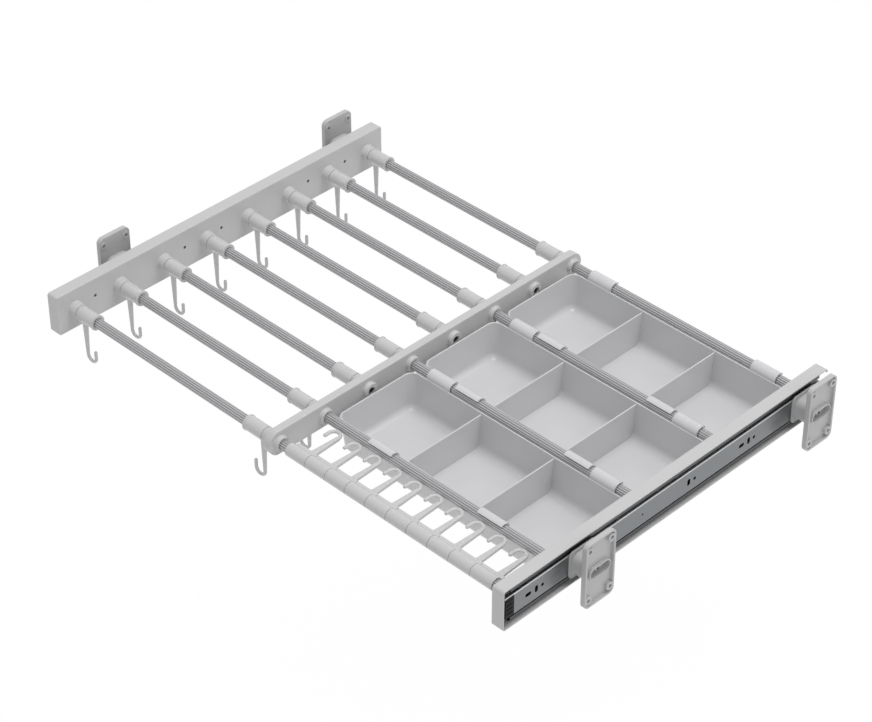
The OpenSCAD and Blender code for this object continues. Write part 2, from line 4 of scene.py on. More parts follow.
import bmesh
import bpy
from mathutils import Matrix, Vector


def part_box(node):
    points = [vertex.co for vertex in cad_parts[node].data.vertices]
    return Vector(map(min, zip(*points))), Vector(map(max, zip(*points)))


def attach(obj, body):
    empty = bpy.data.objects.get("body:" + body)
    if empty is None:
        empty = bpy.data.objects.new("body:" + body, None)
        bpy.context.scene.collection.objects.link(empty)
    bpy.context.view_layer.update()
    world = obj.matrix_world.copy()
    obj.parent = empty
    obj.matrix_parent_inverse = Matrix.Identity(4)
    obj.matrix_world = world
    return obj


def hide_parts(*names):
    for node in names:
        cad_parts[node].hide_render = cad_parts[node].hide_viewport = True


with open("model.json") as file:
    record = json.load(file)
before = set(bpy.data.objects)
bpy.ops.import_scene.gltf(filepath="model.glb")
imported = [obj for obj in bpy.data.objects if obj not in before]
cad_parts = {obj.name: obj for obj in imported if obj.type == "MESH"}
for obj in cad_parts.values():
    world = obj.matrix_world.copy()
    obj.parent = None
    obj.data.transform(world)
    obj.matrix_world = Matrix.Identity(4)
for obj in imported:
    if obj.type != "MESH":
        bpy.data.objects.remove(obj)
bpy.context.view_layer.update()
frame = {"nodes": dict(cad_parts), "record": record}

cad = frame["nodes"]
mm = 0.001
print("frame loaded:", len(cad), "pieces")


# Shader trees

# wraps a socket, so that sums, differences and products of it add Math nodes
class Signal:
    def __init__(self, tree, socket):
        self.tree = tree
        self.socket = socket

    def step(self, operation, first, second=0.0):
        node = self.tree.nodes.new("ShaderNodeMath")
        node.operation = operation
        for slot, value in zip(node.inputs, (first, second)):
            plug(self.tree, slot, value)
        return Signal(self.tree, node.outputs[0])

    def larger(self, other):
        return self.step("MAXIMUM", self, other)

    def __add__(self, other):
        return self.step("ADD", self, other)

    def __sub__(self, other):
        return self.step("SUBTRACT", self, other)

    def __rsub__(self, other):
        return self.step("SUBTRACT", other, self)

    def __mul__(self, other):
        return self.step("MULTIPLY", self, other)

    __radd__ = __add__
    __rmul__ = __mul__


def plug(tree, slot, value):
    if isinstance(value, Signal):
        tree.links.new(value.socket, slot)
    else:
        slot.default_value = value


# the sockets of a Mix node that mixes colours
mixInputs = dict(share=0, first=6, second=7)
mixOutput = 2


class Finish:
    def __init__(self, name):
        self.material = bpy.data.materials.new(name)
        self.material.use_nodes = True
        self.tree = self.material.node_tree
        self.surface = self.tree.nodes["Principled BSDF"]
        self.place = self.node("ShaderNodeTexCoord", out="Object")

    # any other node: its settings first, then the values or links of its sockets
    def node(self, kind, settings=None, sockets=None, out=0):
        made = self.tree.nodes.new(kind)
        for key, value in (settings or {}).items():
            setattr(made, key, value)
        for key, value in (sockets or {}).items():
            plug(self.tree, made.inputs[key], value)
        return Signal(self.tree, made.outputs[out])

    def set(self, **values):
        for key, value in values.items():
            plug(self.tree, self.surface.inputs[key.replace("_", " ")], value)

    # noise over the piece, stretched by a factor along each axis, between 0 and 1
    def grain(self, scale, stretch=(1, 1, 1), detail=2.0, rough=0.5):
        spread = self.node("ShaderNodeMapping", sockets={"Vector": self.place, "Scale": stretch})
        return self.node("ShaderNodeTexNoise", sockets={
            "Vector": spread, "Scale": scale, "Detail": detail, "Roughness": rough})

    # moves a 0 to 1 signal onto a range, with soft ends between two limits
    def between(self, signal, low, high, start=0.0, end=1.0):
        return self.node("ShaderNodeMapRange", {"interpolation_type": "SMOOTHSTEP"}, {
            "Value": signal, "From Min": start, "From Max": end, "To Min": low, "To Max": high})

    def mixColour(self, share, first, second):
        made = self.tree.nodes.new("ShaderNodeMix")
        made.data_type = "RGBA"
        plug(self.tree, made.inputs[mixInputs["share"]], share)
        for slot, colour in (("first", first), ("second", second)):
            value = colour if isinstance(colour, Signal) else (*colour, 1)
            plug(self.tree, made.inputs[mixInputs[slot]], value)
        return Signal(self.tree, made.outputs[mixOutput])

    def relief(self, height, depth, strength):
        return self.node("ShaderNodeBump", sockets={
            "Height": height, "Distance": depth, "Strength": strength}, out="Normal")


# Camera, lights and floor

view = dict(eye=(2.0394, -1.5315, 1.7809), azimuth=44.817, elevation=37.312, lens=111.94,
            sensor=36, farthest=50)


def makeCamera():
    lens = bpy.data.cameras.new("photoView")
    lens.lens = view["lens"]
    lens.sensor_width = view["sensor"]
    lens.clip_end = view["farthest"]
    camera = bpy.data.objects.new("photoView", lens)
    bpy.context.scene.collection.objects.link(camera)
    turn, tilt = math.radians(view["azimuth"]), math.radians(view["elevation"])
    back = Vector((math.sin(turn) * math.cos(tilt), -math.cos(turn) * math.cos(tilt),
                   math.sin(tilt)))
    right = Vector((math.cos(turn), math.sin(turn), 0))
    axes = Matrix((right, back.cross(right), back)).transposed()
    camera.matrix_world = Matrix.Translation(view["eye"]) @ axes.to_4x4()
    bpy.context.scene.camera = camera


studio = dict(
    worldLight=0.48, aim=(0.37, 0.12, 0),
    lamps=[dict(name="overhead", place=(0.9, 0.8, 4.4), size=2.4, power=104),
           dict(name="rightFill", place=(4.2, 0.6, 2.2), size=2.0, power=16),
           dict(name="frontFill", place=(1.5, -4.2, 1.9), size=2.0, power=3)],
    floorSize=9.0, floorMiddle=(0.37, 0.14, -0.32), floorShade=0.95, floorRoughness=0.9,
    floorGlow=0.985)


# where the white surroundings are seen straight, in a mirror or through glass
def whereSeen(tree):
    path = tree.nodes.new("ShaderNodeLightPath")
    straight, mirrored, through = (
        Signal(tree, path.outputs[name])
        for name in ("Is Camera Ray", "Is Glossy Ray", "Is Transmission Ray"))
    return straight.larger(mirrored).larger(through)


def makeWorld():
    world = bpy.data.worlds.new("studio")
    bpy.context.scene.world = world
    world.use_nodes = True
    light = world.node_tree.nodes["Background"]
    light.inputs["Color"].default_value = (1, 1, 1, 1)
    dim = studio["worldLight"]
    plug(world.node_tree, light.inputs["Strength"], whereSeen(world.node_tree) * (1 - dim) + dim)


def makeLamps():
    for lamp in studio["lamps"]:
        light = bpy.data.lights.new(lamp["name"], "AREA")
        light.size = lamp["size"]
        light.energy = lamp["power"]
        made = bpy.data.objects.new(lamp["name"], light)
        bpy.context.scene.collection.objects.link(made)
        away = Vector(lamp["place"]) - Vector(studio["aim"])
        facing = away.to_track_quat("Z", "Y").to_matrix().to_4x4()
        made.matrix_world = Matrix.Translation(lamp["place"]) @ facing


def makeFloor():
    sheet = bpy.data.meshes.new("floor")
    shape = bmesh.new()
    bmesh.ops.create_grid(shape, x_segments=1, y_segments=1, size=studio["floorSize"] / 2)
    bmesh.ops.translate(shape, verts=shape.verts, vec=studio["floorMiddle"])
    shape.to_mesh(sheet)
    shape.free()
    floor = bpy.data.objects.new("floor", sheet)
    bpy.context.scene.collection.objects.link(floor)
    pale = Finish("paleFloor")
    shade = studio["floorShade"]
    pale.set(Base_Color=(shade, shade, shade, 1), Roughness=studio["floorRoughness"],
             Specular_IOR_Level=0.0)
    glow = pale.tree.nodes.new("ShaderNodeEmission")
    mix = pale.tree.nodes.new("ShaderNodeMixShader")
    plug(pale.tree, mix.inputs[0], whereSeen(pale.tree) * studio["floorGlow"])
    pale.tree.links.new(pale.surface.outputs[0], mix.inputs[1])
    pale.tree.links.new(glow.outputs[0], mix.inputs[2])
    pale.tree.links.new(mix.outputs[0], pale.tree.nodes["Material Output"].inputs["Surface"])
    floor.data.materials.append(pale.material)


makeCamera()
makeWorld()
makeLamps()
makeFloor()
print("studio ready")


# Finishes

# Grain is given in features per metre, lightest and darkest are factors on the colour, and a
# roughness spreads from "smoother" below its value to "rougher" above it

cloudDetail = 3.0
paint = dict(cloud=14, fine=1900, ripple=420, rippleShare=1.5, fleck=0.03, fineFleck=0.05,
             lightest=1.08, darkest=0.92, roughness=0.4, smoother=0.04, rougher=0.05,
             peel=0.00002, peelStrength=0.5)


def tinted(colour, factor):
    return tuple(min(1, c * factor) for c in colour)


def makePaint(name, colour):
    f = Finish(name)
    cloud = f.grain(paint["cloud"], detail=cloudDetail)
    fine = f.grain(paint["fine"])
    shift = (cloud - 0.5) * paint["fleck"] + (fine - 0.5) * paint["fineFleck"]
    dark, light = tinted(colour, paint["darkest"]), tinted(colour, paint["lightest"])
    f.set(Base_Color=f.mixColour(shift + 0.5, dark, light),
          Roughness=f.between(cloud, paint["roughness"] - paint["smoother"],
                              paint["roughness"] + paint["rougher"]),
          Normal=f.relief(fine + f.grain(paint["ripple"]) * paint["rippleShare"],
                          paint["peel"], paint["peelStrength"]))
    return f.material


plastic = dict(cloud=22, fine=2600, fineDetail=1.0, bloom=0.006, shine=0.5, smoother=0.01,
               rougher=0.015, grainStrength=0.5)


def makePlastic(name, colour, roughness, grainDepth, shine=plastic["shine"]):
    f = Finish(name)
    cloud = f.grain(plastic["cloud"], detail=cloudDetail)
    fine = f.grain(plastic["fine"], detail=plastic["fineDetail"])
    dark, light = tinted(colour, 1 - plastic["bloom"]), tinted(colour, 1 + plastic["bloom"])
    f.set(Base_Color=f.mixColour(cloud, dark, light), Specular_IOR_Level=shine,
          Roughness=f.between(cloud, roughness - plastic["smoother"],
                              roughness + plastic["rougher"]),
          Normal=f.relief(fine, grainDepth, plastic["grainStrength"]))
    return f.material


# calm and busy: the grain's values at which the roughness is least and most
# webEdge: heights from the slide's middle between which its bent sheet gets a painted highlight
metal = dict(lines=900, cloud=30, linesShare=0.7, lightest=1.1, darkest=0.86,
             smoother=0.08, rougher=0.1, calm=0.2, busy=0.8, scratch=0.000012,
             scratchStrength=0.4, alongY=(1, 0.02, 1), edgeHighlightColour=(0.58, 0.59, 0.6),
             webEdge=(0.012, 0.0127))


def makeMetal(name, colour, roughness, streak=(1, 1, 1), paintEdgeHighlight=False):
    f = Finish(name)
    lines = f.grain(metal["lines"], stretch=streak, detail=cloudDetail)
    cloud = f.grain(metal["cloud"], detail=cloudDetail)
    share = metal["linesShare"]
    dark, light = tinted(colour, metal["darkest"]), tinted(colour, metal["lightest"])
    sheet = f.mixColour(lines * share + cloud * (1 - share), dark, light)
    # a painted highlight on the bent edges of the sheet, standing in for light caught by the bend
    if paintEdgeHighlight:
        height = f.node("ShaderNodeSeparateXYZ", sockets={"Vector": f.place}, out="Z")
        highlightShare = f.between(height.step("ABSOLUTE", height), 0.0, 1.0, *metal["webEdge"])
        sheet = f.mixColour(highlightShare, sheet, metal["edgeHighlightColour"])
    f.set(Base_Color=sheet, Metallic=1.0,
          Roughness=f.between(lines, roughness - metal["smoother"],
                              roughness + metal["rougher"], metal["calm"], metal["busy"]),
          Normal=f.relief(lines, metal["scratch"], metal["scratchStrength"]))
    return f.material


# mostShade: the greatest share of the painted flute shade, reached as a flute's depth goes
# from shallow to deep; groove is the colour of that painted shade
fluted = dict(ridge=(0.56, 0.56, 0.57), groove=(0.2, 0.2, 0.21), mostShade=0.8,
              shallow=0.05, deep=0.7, darkest=0.93, lines=900, alongX=(0.02, 1, 1),
              roughness=0.34, smoother=0.06, rougher=0.08, metallic=0.5, scratch=0.00001,
              scratchStrength=0.4)


# satin extrusion with painted shade in its flutes, darker where a flute is deeper
def makeFluted():
    f = Finish("satinAluminium")
    lines = f.grain(fluted["lines"], stretch=fluted["alongX"], detail=cloudDetail)
    depth = f.node("ShaderNodeAttribute", {"attribute_name": "groove"}, out="Fac")
    ridge = f.mixColour(lines, tinted(fluted["ridge"], fluted["darkest"]), fluted["ridge"])
    # painted shade in the flutes, set by the depth read from the mesh
    inside = f.between(depth, 0.0, fluted["mostShade"], fluted["shallow"], fluted["deep"])
    f.set(Base_Color=f.mixColour(inside, ridge, fluted["groove"]),
          Metallic=fluted["metallic"],
          Roughness=f.between(lines, fluted["roughness"] - fluted["smoother"],
                              fluted["roughness"] + fluted["rougher"]),
          Normal=f.relief(lines, fluted["scratch"], fluted["scratchStrength"]))
    return f.material


finishes = {
    "bracket_paint": makePaint("bracketPaint", colour=(0.53, 0.53, 0.53)),
    "frame_paint": makePaint("framePaint", colour=(0.58, 0.58, 0.58)),
    "bar_aluminium": makeFluted(),
    "hook_plastic": makePlastic("hookPlastic", colour=(0.6, 0.6, 0.6), roughness=0.25,
                                grainDepth=0.00001),
    "tray_plastic": makePlastic("trayPlastic", colour=(0.66, 0.66, 0.672), roughness=0.2,
                                grainDepth=0.000008),
    "slide_zinc": makeMetal("slideZinc", colour=(0.24, 0.25, 0.26), roughness=0.36,
                            streak=metal["alongY"], paintEdgeHighlight=True),
    "cage_steel": makeMetal("cageSteel", colour=(0.2, 0.2, 0.19), roughness=0.34,
                            streak=metal["alongY"]),
    "black_plastic": makePlastic("blackPlastic", colour=(0.01, 0.01, 0.011), roughness=0.4,
                                 grainDepth=0.00001, shine=0.12),
    "screw_steel": makeMetal("screwSteel", colour=(0.42, 0.43, 0.45), roughness=0.3),
    "dark_screw_steel": makeMetal("darkScrewSteel", colour=(0.07, 0.07, 0.09), roughness=0.35),
}
# the two members behind the fixed one get painted shade: a darker sheet that stands in for the shade
# inside the slide
paintedShadeZinc = makeMetal("paintedShadeZinc", colour=(0.12, 0.125, 0.13), roughness=0.42,
                       streak=metal["alongY"])
slots = {part["node"]: part["material_slot"] for part in frame["record"]["subparts"]}
for name, piece in cad.items():
    piece.data.materials.clear()
    # the outer and middle members take the painted shade
    nested = name.endswith(("outer_member", "middle_member"))
    piece.data.materials.append(paintedShadeZinc if nested else finishes[slots[name]])
print("finishes made:", len(finishes))


# Shapes, made in millimetres round a piece's own origin

sharpAngle = math.radians(32)
# how many steps make an edge's bevel, a slab's corner, a rod, an oblong's ends, a turned
# outline, a wire and its half turn
edgeSteps, cornerSteps, rodSteps, oblongSteps, turnSteps = 2, 10, 40, 48, 56
wireSteps, bendSteps = 24, 20


def verticesOf(geometry):
    return [g for g in geometry if isinstance(g, bmesh.types.BMVert)]


def edgesOf(geometry):
    return [g for g in geometry if isinstance(g, bmesh.types.BMEdge)]


def edgesAmong(shape, vertices):
    chosen = set(vertices)
    return [e for e in shape.edges if e.verts[0] in chosen and e.verts[1] in chosen]


def bevelEdges(shape, edges, width, segments, clamp=True):
    bmesh.ops.bevel(shape, geom=edges, offset=width, offset_type="OFFSET", segments=segments,
                    profile=0.5, affect="EDGES", clamp_overlap=clamp, material=-1)


# bevels every edge that turns by more than the sharp angle
def roundEdges(shape, width, clamp=True):
    sharp = [e for e in shape.edges
             if len(e.link_faces) == 2 and e.calc_face_angle(0) > sharpAngle]
    bevelEdges(shape, sharp, width, edgeSteps, clamp)


# turns a closed outline of (x, radius) points round the X axis
def turned(shape, outline):
    points = [shape.verts.new((x, 0, radius)) for x, radius in outline]
    lines = [shape.edges.new(pair) for pair in zip(points, points[1:] + points[:1])]
    bmesh.ops.spin(shape, geom=points + lines, cent=(0, 0, 0), axis=(1, 0, 0),
                   angle=math.tau, steps=turnSteps, use_merge=True)
    bmesh.ops.recalc_face_normals(shape, faces=shape.faces)


# carries an open ring of edges on by a shift and a change of size
def grow(shape, ring, shift, size=1.0):
    made = bmesh.ops.extrude_edge_only(shape, edges=ring)["geom"]
    points = verticesOf(made)
    middle = sum((v.co for v in points), Vector()) / len(points)
    bmesh.ops.scale(shape, vec=(size, size, size), space=Matrix.Translation(-middle),
                    verts=points)
    bmesh.ops.translate(shape, vec=shift, verts=points)
    return edgesAmong(shape, points)


def bend(shape, ring, centre, axis, angle, steps):
    points = list({v for e in ring for v in e.verts})
    made = bmesh.ops.spin(shape, geom=points + ring, cent=centre, axis=axis, angle=angle,
                          steps=steps)
    return edgesOf(made["geom_last"])


# closes a ring with a round end
def roundEnd(shape, ring, along, radius, steps=4, last=math.radians(80)):
    for k in range(steps):
        here, there = last * k / steps, last * (k + 1) / steps
        rise = radius * (math.sin(there) - math.sin(here))
        ring = grow(shape, ring, Vector(along) * rise, math.cos(there) / math.cos(here))
    bmesh.ops.edgeloop_fill(shape, edges=ring)


def wireRing(shape, place, radius, facing="Z"):
    tip = Matrix.Rotation(math.pi / 2, 4, "X") if facing == "Y" else Matrix()
    made = bmesh.ops.create_circle(shape, cap_ends=True, radius=radius, segments=wireSteps,
                                   matrix=Matrix.Translation(place) @ tip)
    return edgesAmong(shape, made["verts"])


def meshOf(shape, name):
    bmesh.ops.recalc_face_normals(shape, faces=shape.faces)
    mesh = bpy.data.meshes.new(name)
    shape.to_mesh(mesh)
    shape.free()
    return mesh


# hands a finished mesh to the node that it stands for
def install(mesh, node, finish):
    mesh.shade_smooth()
    mesh.set_sharp_from_angle(angle=sharpAngle)
    mesh.materials.clear()
    mesh.materials.append(finish)
    piece = bpy.data.objects.new(node + "_shape", mesh)
    bpy.context.scene.collection.objects.link(piece)
    shading = piece.modifiers.new("evenShade", "WEIGHTED_NORMAL")
    shading.keep_sharp = True
    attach(piece, bodyOf[node])
    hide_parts(node)


# a copy of a mesh in millimetres at a place in the frame, mirrored in X if need be
def placed(mesh, at, flip):
    copy = mesh.copy()
    move = Matrix.Translation(Vector(at)) @ Matrix.Diagonal((-mm if flip else mm, mm, mm, 1))
    copy.transform(move)
    if flip:
        copy.flip_normals()
    return copy


def placeCopy(mesh, node, at, finish, flip=False):
    install(placed(mesh, at, flip), node, finish)


bodyOf = {node: body for body, nodes in frame["record"]["behaviour"]["bodies"].items()
          for node in nodes}


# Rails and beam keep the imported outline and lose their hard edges

softEdges = {"left_rail": 0.35, "right_rail": 0.35, "middle_beam": 0.4}


def softened(node, width, merge=0.002 * mm, flat=math.radians(0.6)):
    shape = bmesh.new()
    shape.from_mesh(cad[node].data)
    bmesh.ops.remove_doubles(shape, verts=shape.verts, dist=merge)
    bmesh.ops.dissolve_limit(shape, angle_limit=flat, verts=shape.verts, edges=shape.edges)
    roundEdges(shape, width * mm, clamp=False)
    return meshOf(shape, node + "Soft")


for node, width in softEdges.items():
    install(softened(node, width), node, finishes[slots[node]])
print("softened:", len(softEdges))


# Brackets: a hollow plate with four bosses and a collar, on a post with a foot

bracket = dict(thick=6.0, width=43.5, height=83.5, corner=7.0, rim=2.4, hollow=3.8, draft=0.35,
               holeY=32.0, holeZ=64.0, hole=2.25, boss=5.0, bossSet=0.15, backRing=4.6,
               backRise=0.8,
               collarLength=31.5, collarHeight=15.0, collarWall=1.4, recess=6.5,
               postWidth=32.0, postHeight=27.0, postCorner=9.0,
               footWidth=38.0, footHeight=34.0, footCorner=5.0, footThick=2.4,
               screwBore=2.5, edge=0.45, bite=0.5, over=1.0)


# joins two meshes, or cuts one with the other
def combined(base, tool, operation):
    host = bpy.data.objects.new("host", base)
    other = bpy.data.objects.new("other", tool)
    for part in (host, other):
        bpy.context.scene.collection.objects.link(part)
    step = host.modifiers.new("step", "BOOLEAN")
    step.operation = operation
    step.object = other
    step.solver = "EXACT"
    bpy.context.view_layer.update()
    state = bpy.context.evaluated_depsgraph_get()
    made = bpy.data.meshes.new_from_object(host.evaluated_get(state))
    for part in (host, other):
        bpy.data.objects.remove(part)
    return made


# a block from one X to another with its four long edges rounded
def slab(start, end, width, height, corner):
    shape = bmesh.new()
    bmesh.ops.create_cube(shape, size=1.0)
    bmesh.ops.scale(shape, vec=(end - start, width, height), verts=shape.verts)
    bmesh.ops.translate(shape, vec=((start + end) / 2, 0, 0), verts=shape.verts)
    along = [e for e in shape.edges if abs(e.verts[0].co.x - e.verts[1].co.x) > (end - start) / 2]
    bevelEdges(shape, along, corner, cornerSteps)
    return shape


def oblongBlock(start, end, length, height):
    shape = bmesh.new()
    ring = bmesh.ops.create_circle(shape, cap_ends=True, radius=height / 2, segments=oblongSteps,
                                   matrix=Matrix.Rotation(math.pi / 2, 4, "Y"))["verts"]
    bmesh.ops.translate(shape, vec=(start, 0, 0), verts=ring)
    for v in ring:
        v.co.y += math.copysign((length - height) / 2, v.co.y)
    last = grow(shape, edgesAmong(shape, ring), (end - start, 0, 0))
    bmesh.ops.edgeloop_fill(shape, edges=last)
    return shape


def addRod(shape, start, end, y, z, radius, sides=rodSteps):
    place = Matrix.Translation(((start + end) / 2, y, z)) @ Matrix.Rotation(math.pi / 2, 4, "Y")
    bmesh.ops.create_cone(shape, cap_ends=True, segments=sides, radius1=radius, radius2=radius,
                          depth=end - start, matrix=place)


def makeBracket(reach):
    b = bracket
    holes = [(y * b["holeY"] / 2, z * b["holeZ"] / 2) for y in (-1, 1) for z in (-1, 1)]
    plate = slab(0, b["thick"], b["width"], b["height"], b["corner"])
    front = [f for f in plate.faces if f.calc_center_median().x < b["edge"] / 2]
    bmesh.ops.inset_region(plate, faces=front, thickness=b["rim"], use_even_offset=True)
    bmesh.ops.inset_region(plate, faces=front, thickness=b["draft"], depth=-b["hollow"],
                           use_even_offset=True)
    roundEdges(plate, b["edge"])
    bosses = bmesh.new()
    for y, z in holes:
        addRod(bosses, b["bossSet"], b["hollow"] + b["over"], y, z, b["boss"])
        addRod(bosses, b["thick"] - b["bite"], b["thick"] + b["backRise"], y, z, b["backRing"])
    roundEdges(bosses, b["edge"] / 2)
    collar = oblongBlock(0, b["thick"] - b["bite"], b["collarLength"], b["collarHeight"])
    roundEdges(collar, b["edge"])
    post = slab(b["thick"] - b["bite"], reach, b["postWidth"], b["postHeight"], b["postCorner"])
    foot = slab(reach - b["footThick"], reach, b["footWidth"], b["footHeight"], b["footCorner"])
    roundEdges(foot, b["edge"])
    made = meshOf(plate, "bracket")
    for part in (bosses, collar, post, foot):
        made = combined(made, meshOf(part, "part"), "UNION")
    bores = bmesh.new()
    for y, z in holes:
        addRod(bores, -b["over"], b["thick"] + b["backRise"] + b["over"], y, z, b["hole"])
    recess = oblongBlock(-b["over"], b["recess"], b["collarLength"] - 2 * b["collarWall"],
                         b["collarHeight"] - 2 * b["collarWall"])
    shank = bmesh.new()
    addRod(shank, -b["over"], reach + b["over"], 0, 0, b["screwBore"])
    for part in (bores, recess, shank):
        made = combined(made, meshOf(part, "part"), "DIFFERENCE")
    return made


# Bracket screws: a low head with a hexagon socket in each recess

bracketScrew = dict(head=4.2, headHeight=3.0, shank=2.3, past=1.5, hexagon=2.3, hexSides=6,
                    hexDepth=1.6, edge=0.4)


def makeBracketScrew(reach):
    k = bracketScrew
    seat = bracket["recess"]
    top = seat - k["headHeight"]
    head = bmesh.new()
    addRod(head, top, seat, 0, 0, k["head"])
    roundEdges(head, k["edge"])
    shank = bmesh.new()
    addRod(shank, seat - k["edge"], reach + k["past"], 0, 0, k["shank"])
    socket = bmesh.new()
    addRod(socket, top - bracket["over"], top + k["hexDepth"], 0, 0, k["hexagon"], k["hexSides"])
    made = combined(meshOf(head, "screw"), meshOf(shank, "part"), "UNION")
    return combined(made, meshOf(socket, "part"), "DIFFERENCE")


low, high = (Vector(corner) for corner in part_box("left_front_bracket"))
bracketReach = (high.x - low.x) / mm
bracketMesh, screwMesh = makeBracket(bracketReach), makeBracketScrew(bracketReach)
screws = bmesh.new()
for side in ("left", "right"):
    for end in ("front", "rear"):
        node = f"{side}_{end}_bracket"
        low, high = (Vector(corner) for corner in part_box(node))
        at, flip = (low.x if side == "left" else high.x, (low.y + high.y) / 2, 0), side == "right"
        placeCopy(bracketMesh, node, at, finishes["bracket_paint"], flip)
        screws.from_mesh(placed(screwMesh, at, flip))
install(meshOf(screws, "bracketScrews"), "bracket_screws", finishes["screw_steel"])
print("brackets: 4")


# Catches: a black plate with ribs across the front of each inner member

catch = dict(reach=12.5, height=25.4, thick=1.9, proud=0.3, corner=1.4, ribs=4, ribPitch=5.4,
             ribHeight=1.5, ribReach=8.0, ribRise=0.5, edge=0.25)


def makeCatch():
    k = catch
    plate = slab(-k["proud"], k["thick"], k["reach"], k["height"], k["corner"])
    roundEdges(plate, k["edge"])
    made = meshOf(plate, "catch")
    for number in range(k["ribs"]):
        rib = slab(-k["proud"] - k["ribRise"], k["thick"], k["ribReach"], k["ribHeight"],
                   k["edge"])
        level = (number - (k["ribs"] - 1) / 2) * k["ribPitch"]
        bmesh.ops.translate(rib, vec=(0, 0, level), verts=rib.verts)
        made = combined(made, meshOf(rib, "rib"), "UNION")
    return made


catchMesh = makeCatch()
for side in ("left", "right"):
    node = side + "_stop"
    low, high = (Vector(corner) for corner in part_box(side + "_inner_member"))
    at = (low.x if side == "left" else high.x, low.y + catch["reach"] / 2 * mm, 0)
    body = bmesh.new()
    body.from_mesh(softened(node, catch["edge"]))
    body.from_mesh(placed(catchMesh, at, side == "right"))
    install(meshOf(body, node + "Catch"), node, finishes["black_plastic"])
print("catches: 2")


# Bars

bar = dict(radius=6.0, flutes=14, fluteDepth=0.6, fluteRadius=0.85, stepsPerFlute=12)


# the outline's radius at an angle from the middle of the nearest flute
def fluteReach(angle):
    centre = bar["radius"] + bar["fluteRadius"] - bar["fluteDepth"]
    inside = bar["fluteRadius"] ** 2 - (centre * math.sin(angle)) ** 2
    if inside <= 0:
        return bar["radius"]
    return min(bar["radius"], centre * math.cos(angle) - math.sqrt(inside))


def makeBar(node):
    low, high = (Vector(corner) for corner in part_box(node))
    shape = bmesh.new()
    depth = shape.verts.layers.float.new("groove")
    ring = bmesh.ops.create_circle(shape, cap_ends=True, radius=bar["radius"],
                                   segments=bar["flutes"] * bar["stepsPerFlute"],
                                   matrix=Matrix.Rotation(math.pi / 2, 4, "Y"))["verts"]
    pitch = math.tau / bar["flutes"]
    for v in ring:
        around = math.atan2(v.co.z, v.co.y)
        off = around - round(around / pitch) * pitch
        v.co *= fluteReach(off) / bar["radius"]
    last = grow(shape, edgesAmong(shape, ring), ((high.x - low.x) / mm, 0, 0))
    bmesh.ops.edgeloop_fill(shape, edges=last)
    # each point's flute depth, from which the bars' finish paints shade into the flutes
    for v in shape.verts:
        v[depth] = (bar["radius"] - math.hypot(v.co.y, v.co.z)) / bar["fluteDepth"]
    mesh = meshOf(shape, node + "Fluted")
    mesh.transform(Matrix.Translation((low.x, (low.y + high.y) / 2, 0)) @ Matrix.Scale(mm, 4))
    install(mesh, node, finishes["bar_aluminium"])


barNames = [name for name in cad if name.startswith("bar_")]
for node in barNames:
    makeBar(node)
print("bars:", len(barNames))


# End hooks: a sleeve on the bar with a tapering shaft and a J bend

endHook = dict(pairs=8, bore=6.05, radius=8.7, length=29.0, groove=0.9, grooveDepth=1.1,
               lip=0.6, lipWidth=1.8, shaftSet=6.0, drop=54.0, bend=7.0, wire=1.95,
               root=3.4, point=8.0, fillet=1.5, edge=0.35)


def makeEndHook():
    h = endHook
    shape = bmesh.new()
    seat = h["radius"] - h["grooveDepth"]
    crown = h["radius"] + h["lip"]
    shoulder = h["length"] - h["lipWidth"]
    turned(shape, [(0, h["bore"]), (0, seat), (h["groove"], seat), (h["groove"], h["radius"]),
                   (shoulder, h["radius"]), (shoulder, crown), (h["length"], crown),
                   (h["length"], h["bore"])])
    roundEdges(shape, h["edge"])
    # the shaft leaves the sleeve in a small fillet, given as shares of it
    flare = [(-1.1, 1.15), (0.0, 0.5), (0.5, 0.18), (1.2, 0.0)]
    depth, width = h["radius"] + flare[0][0] * h["fillet"], h["root"] + flare[0][1] * h["fillet"]
    ring = wireRing(shape, (h["shaftSet"], 0, -depth), width)
    stations = [(h["radius"] + down * h["fillet"], h["root"] + out * h["fillet"])
                for down, out in flare[1:]] + [(h["drop"], h["wire"])]
    for nextDepth, nextWidth in stations:
        ring = grow(shape, ring, (0, 0, depth - nextDepth), nextWidth / width)
        depth, width = nextDepth, nextWidth
    centre = (h["shaftSet"] + h["bend"], 0, -h["drop"])
    ring = bend(shape, ring, centre, (0, -1, 0), math.pi, bendSteps)
    ring = grow(shape, ring, (0, 0, h["point"]))
    roundEnd(shape, ring, (0, 0, 1), h["wire"])
    return meshOf(shape, "endHook")


hookMesh = makeEndHook()
for number in range(1, endHook["pairs"] + 1):
    for side in ("left", "right"):
        node = f"{side}_end_hook_{number}"
        low, high = (Vector(corner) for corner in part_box(node))
        start = low.x if side == "left" else high.x
        placeCopy(hookMesh, node, (start, (low.y + high.y) / 2, 0), finishes["hook_plastic"],
                  flip=side == "right")
print("end hooks:", 2 * endHook["pairs"])


# Ring hooks: a ring, a flat web behind it and a lying J bend

ringHook = dict(count=10, bore=6.05, radius=7.8, wire=2.1, shaftSet=6.5, shaftWidth=7.5,
                web=12.5, webThick=3.6, webStart=6.6, webCorner=1.8, webCornerSteps=4,
                bend=7.0, point=6.0, edge=0.4)


